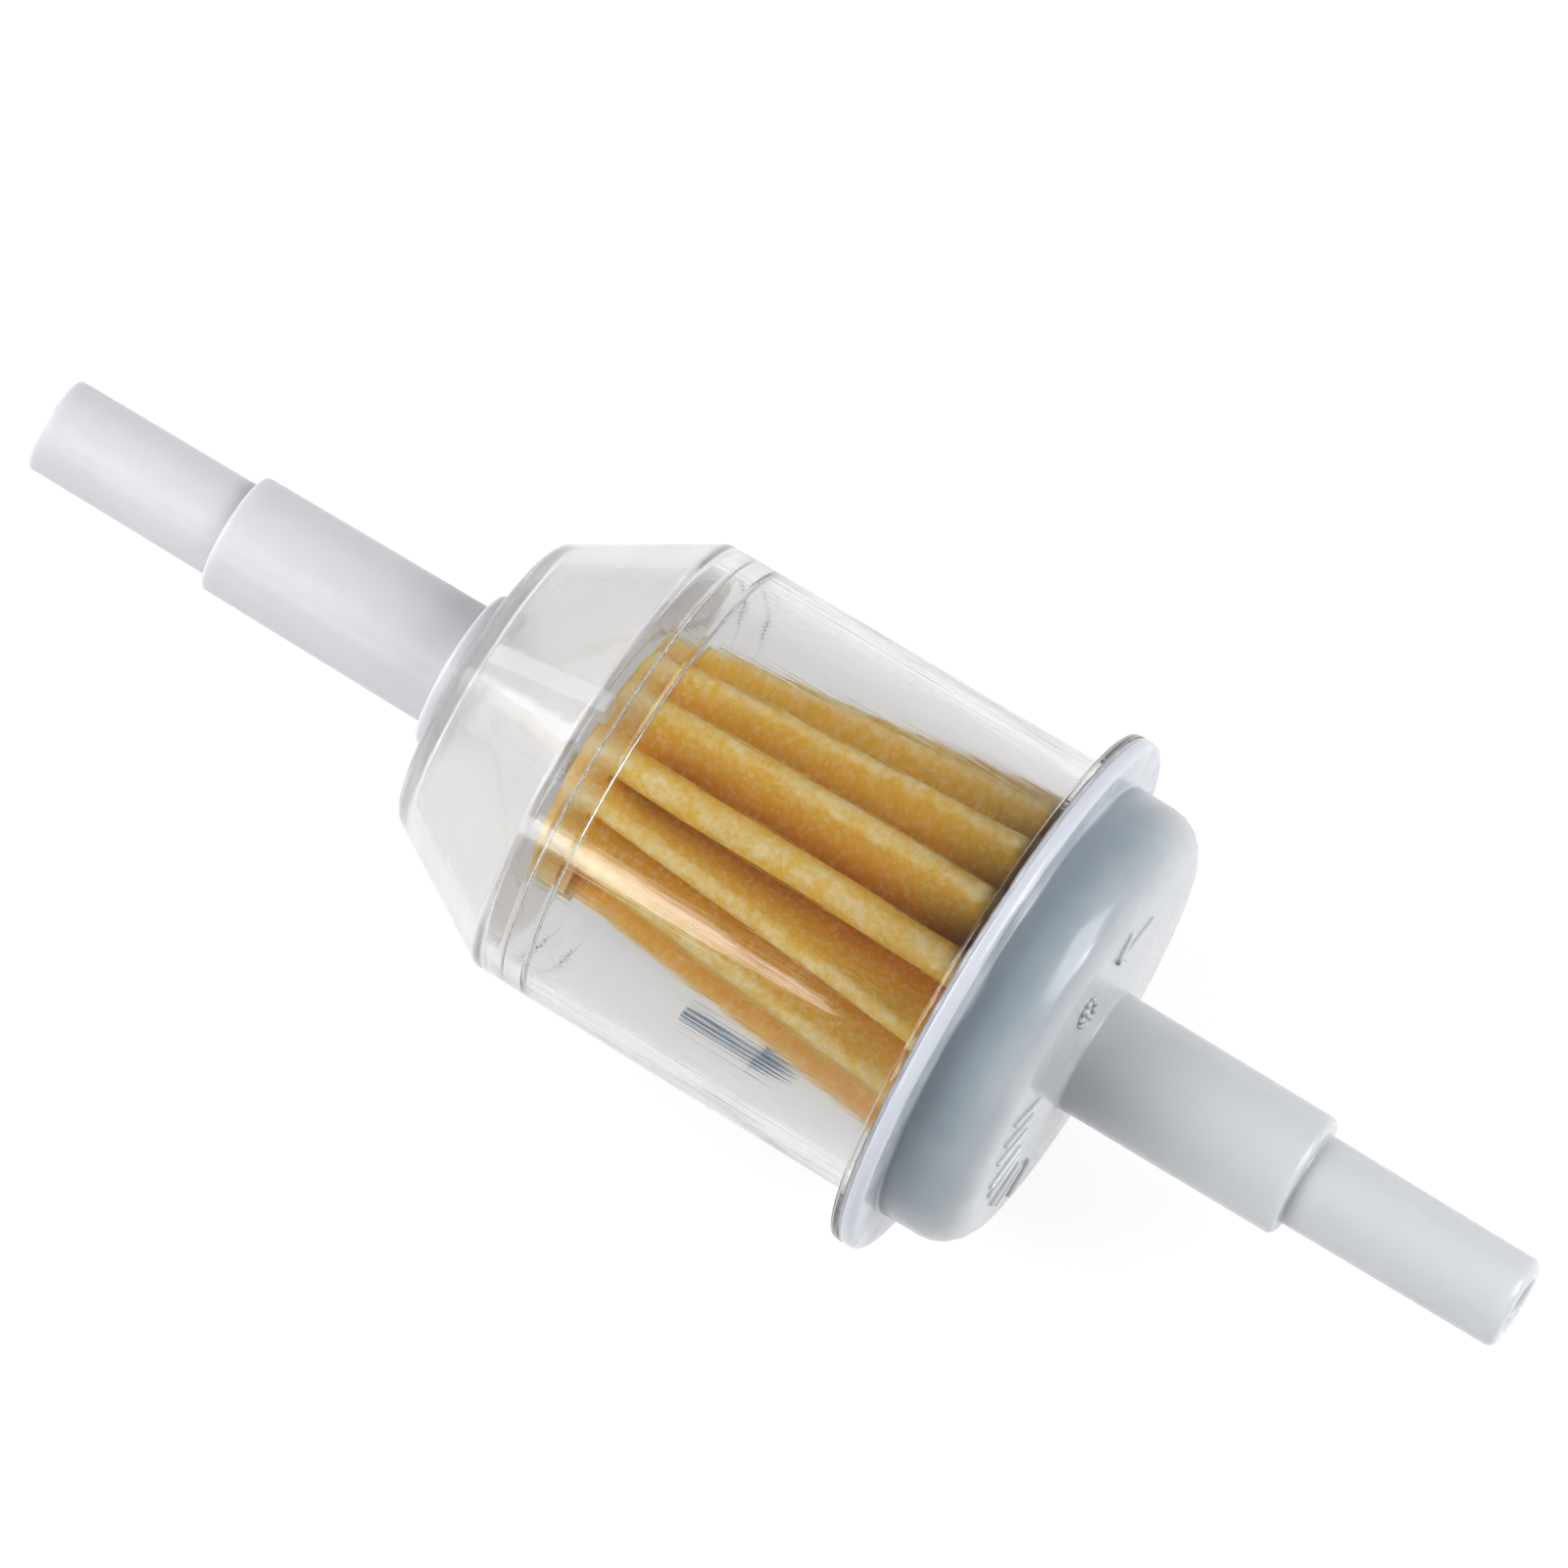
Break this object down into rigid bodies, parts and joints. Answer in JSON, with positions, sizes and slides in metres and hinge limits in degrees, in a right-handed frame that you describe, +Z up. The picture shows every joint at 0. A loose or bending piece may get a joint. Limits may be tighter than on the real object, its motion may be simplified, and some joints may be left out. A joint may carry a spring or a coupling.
{
  "type": "in-line fuel filter",
  "caption": "In-line fuel filter with a clear bowl, a milky flanged cap, a pleated paper element and a stepped hose spigot at each end.",
  "frame": {"origin": "on the filter's axis, halfway between the two spigot tips, which is the centre of the bounding box", "axes": "+X along the axis in the direction of flow, from the inlet to the outlet; +Z up, through the front rib of the dome to within 2.3 degrees"},
  "size_m": [0.1006, 0.0342, 0.0342],
  "materials": {
    "clear_plastic": "clear moulded nylon, glossy, faintly milky where it is thick",
    "milky_plastic": "natural translucent moulded nylon, satin to glossy",
    "paper": "resin-treated yellow-orange filter paper with a felt-like surface",
    "disc_plastic": "blue-grey moulded plastic, satin",
    "adhesive": "cured amber adhesive, satin"
  },
  "bodies": {
    "root": {"inlet_bowl": "clear_plastic", "outlet_cap": "milky_plastic", "filter_paper": "paper", "end_disc": "disc_plastic", "end_adhesive": "adhesive", "inlet_end_seal": "adhesive", "seam_glue": "adhesive"}
  },
  "joints": []
}
